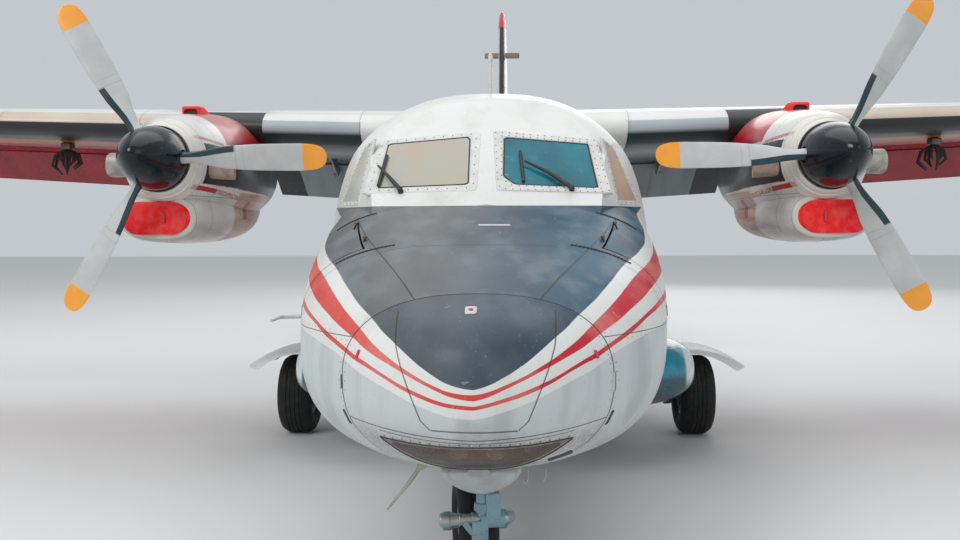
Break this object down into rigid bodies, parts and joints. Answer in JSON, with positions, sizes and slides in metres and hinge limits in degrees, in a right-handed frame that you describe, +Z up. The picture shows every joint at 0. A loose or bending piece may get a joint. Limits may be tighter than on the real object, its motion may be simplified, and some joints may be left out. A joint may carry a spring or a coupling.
{
  "type": "twin turboprop commuter airliner",
  "caption": "Small high-wing airliner with propeller engines, fuselage-side wheels, tall fin, opening doors and movable control surfaces.",
  "frame": {"origin": "centre of the whole aircraft's box in plan, on the ground under the wheels", "axes": "+Z up, the nose towards -Y, the aircraft's port side towards +X"},
  "size_m": [19.48, 14.424, 5.83],
  "materials": {
    "white_paint": "satin",
    "wing_paint": "satin",
    "flap_paint": "satin",
    "blue_grey_paint": "satin",
    "charcoal_paint": "matte",
    "red_paint": "satin",
    "navy_paint": "gloss",
    "blade_paint": "satin",
    "dark_steel": "satin",
    "wheel_alloy": "satin",
    "tyre_rubber": "matte",
    "cockpit_glass": "gloss",
    "lamp_glass": "gloss"
  },
  "bodies": {
    "airframe": {"nose_cap": "charcoal_paint", "landing_light_window": "lamp_glass", "forward_fuselage": "white_paint", "centre_fuselage": "white_paint", "rear_fuselage": "white_paint", "windscreen": "cockpit_glass", "port_quarter_pane": "cockpit_glass", "starboard_quarter_pane": "cockpit_glass", "nose_gear_bulge": "blue_grey_paint", "wing_centre": "white_paint", "port_wing": "wing_paint", "starboard_wing": "wing_paint", "port_nacelle": "white_paint", "starboard_nacelle": "white_paint", "port_engine": "dark_steel", "starboard_engine": "dark_steel", "port_intake_plug": "red_paint", "starboard_intake_plug": "red_paint", "port_gear_fairing": "blue_grey_paint", "starboard_gear_fairing": "blue_grey_paint", "port_main_leg": "dark_steel", "starboard_main_leg": "dark_steel", "port_wheel_cover": "white_paint", "starboard_wheel_cover": "white_paint", "nose_strut": "blue_grey_paint", "fin": "wing_paint", "ventral_fin": "wing_paint", "port_tailplane": "wing_paint", "starboard_tailplane": "wing_paint", "roof_aerial": "wheel_alloy"},
    "port_propeller_unit": {"port_spinner": "navy_paint", "port_propeller": "blade_paint"},
    "starboard_propeller_unit": {"starboard_spinner": "navy_paint", "starboard_propeller": "blade_paint"},
    "port_main_wheel": {"port_main_tyre": "tyre_rubber", "port_main_rim": "wheel_alloy"},
    "starboard_main_wheel": {"starboard_main_tyre": "tyre_rubber", "starboard_main_rim": "wheel_alloy"},
    "nose_gear": {"nose_fork": "blue_grey_paint"},
    "nose_wheel": {"nose_tyre": "tyre_rubber", "nose_rim": "wheel_alloy"},
    "rudder": {"rudder": "wing_paint"},
    "port_elevator": {"port_elevator": "wing_paint"},
    "starboard_elevator": {"starboard_elevator": "wing_paint"},
    "port_aileron": {"port_aileron": "wing_paint"},
    "starboard_aileron": {"starboard_aileron": "wing_paint"},
    "port_flaps": {"port_inner_flap": "flap_paint", "port_outer_flap": "flap_paint"},
    "starboard_flaps": {"starboard_inner_flap": "flap_paint", "starboard_outer_flap": "flap_paint"},
    "passenger_door": {"passenger_door": "white_paint"},
    "cargo_door": {"cargo_door": "white_paint"},
    "crew_exit_door": {"crew_exit_door": "white_paint"},
    "port_locker_door": {"port_locker_door": "white_paint"},
    "starboard_locker_door": {"starboard_locker_door": "white_paint"}
  },
  "joints": [
    {"name": "port_propeller_spin", "type": "hinge", "parent": "airframe", "child": "port_propeller_unit", "pos_m": [2.41, -4.092, 2.38], "axis": [0, 1, 0], "continuous": true},
    {"name": "starboard_propeller_spin", "type": "hinge", "parent": "airframe", "child": "starboard_propeller_unit", "pos_m": [-2.41, -4.092, 2.38], "axis": [0, 1, 0], "continuous": true},
    {"name": "port_main_wheel_spin", "type": "hinge", "parent": "airframe", "child": "port_main_wheel", "pos_m": [1.82, -2.042, 0.35692], "axis": [1, 0, 0], "continuous": true},
    {"name": "starboard_main_wheel_spin", "type": "hinge", "parent": "airframe", "child": "starboard_main_wheel", "pos_m": [-1.82, -2.042, 0.35692], "axis": [1, 0, 0], "continuous": true},
    {"name": "nose_steering", "type": "hinge", "parent": "airframe", "child": "nose_gear", "pos_m": [0, -6.047, 0.5], "axis": [0, 0, 1], "range_deg": [-59, 41]},
    {"name": "nose_wheel_spin", "type": "hinge", "parent": "nose_gear", "child": "nose_wheel", "pos_m": [-0.05553, -5.69637, 0.27265], "axis": [0.9877, 0.1564, 0], "continuous": true},
    {"name": "rudder_turn", "type": "hinge", "parent": "airframe", "child": "rudder", "pos_m": [0, 6.268, 2.7], "axis": [0, 0.1494, 0.9888], "range_deg": [-17, 17]},
    {"name": "port_elevator_turn", "type": "hinge", "parent": "airframe", "child": "port_elevator", "pos_m": [0.33, 6.17812, 3.52052], "axis": [0.9924, -0.0177, 0.1219], "range_deg": [-14, 28]},
    {"name": "starboard_elevator_turn", "type": "hinge", "parent": "airframe", "child": "starboard_elevator", "pos_m": [-0.33, 6.17812, 3.52052], "axis": [0.9924, 0.0177, -0.1219], "range_deg": [-14, 28]},
    {"name": "port_aileron_turn", "type": "hinge", "parent": "airframe", "child": "port_aileron", "pos_m": [6.2, -1.34421, 2.86613], "axis": [0.9974, -0.0648, 0.0322], "range_deg": [-20, 20]},
    {"name": "starboard_aileron_turn", "type": "hinge", "parent": "airframe", "child": "starboard_aileron", "pos_m": [-6.2, -1.34421, 2.86613], "axis": [0.9974, 0.0648, -0.0322], "range_deg": [-20, 20]},
    {"name": "port_flap_drive", "type": "hinge", "parent": "airframe", "child": "port_flaps", "pos_m": [1.3, -1.05853, 2.44395], "axis": [0.9969, -0.063, 0.0467], "range_deg": [-6, 36]},
    {"name": "starboard_flap_drive", "type": "hinge", "parent": "airframe", "child": "starboard_flaps", "pos_m": [-1.3, -1.05853, 2.44395], "axis": [0.9969, 0.063, -0.0467], "range_deg": [-6, 36]},
    {"name": "passenger_door_lift", "type": "hinge", "parent": "airframe", "child": "passenger_door", "pos_m": [0.948, 1.568, 2.382], "axis": [0, -1, 0], "range_deg": [0, 85]},
    {"name": "cargo_door_lift", "type": "hinge", "parent": "airframe", "child": "cargo_door", "pos_m": [0.948, 0.938, 2.382], "axis": [0, -1, 0], "range_deg": [0, 85]},
    {"name": "crew_exit_swing", "type": "hinge", "parent": "airframe", "child": "crew_exit_door", "pos_m": [-1.06, -3.612, 1.68], "axis": [0, 0, 1], "range_deg": [0, 85]},
    {"name": "port_locker_lift", "type": "hinge", "parent": "airframe", "child": "port_locker_door", "pos_m": [0.755, -5.412, 1.911], "axis": [-0.2924, -0.9255, -0.2408], "range_deg": [0, 80]},
    {"name": "starboard_locker_lift", "type": "hinge", "parent": "airframe", "child": "starboard_locker_door", "pos_m": [-0.755, -5.412, 1.911], "axis": [-0.2924, 0.9255, 0.2408], "range_deg": [0, 80]}
  ],
  "couplings": [
    {"joint": "starboard_elevator_turn", "follows": "port_elevator_turn", "ratio": 1},
    {"joint": "starboard_aileron_turn", "follows": "port_aileron_turn", "ratio": -1},
    {"joint": "starboard_flap_drive", "follows": "port_flap_drive", "ratio": 1}
  ]
}
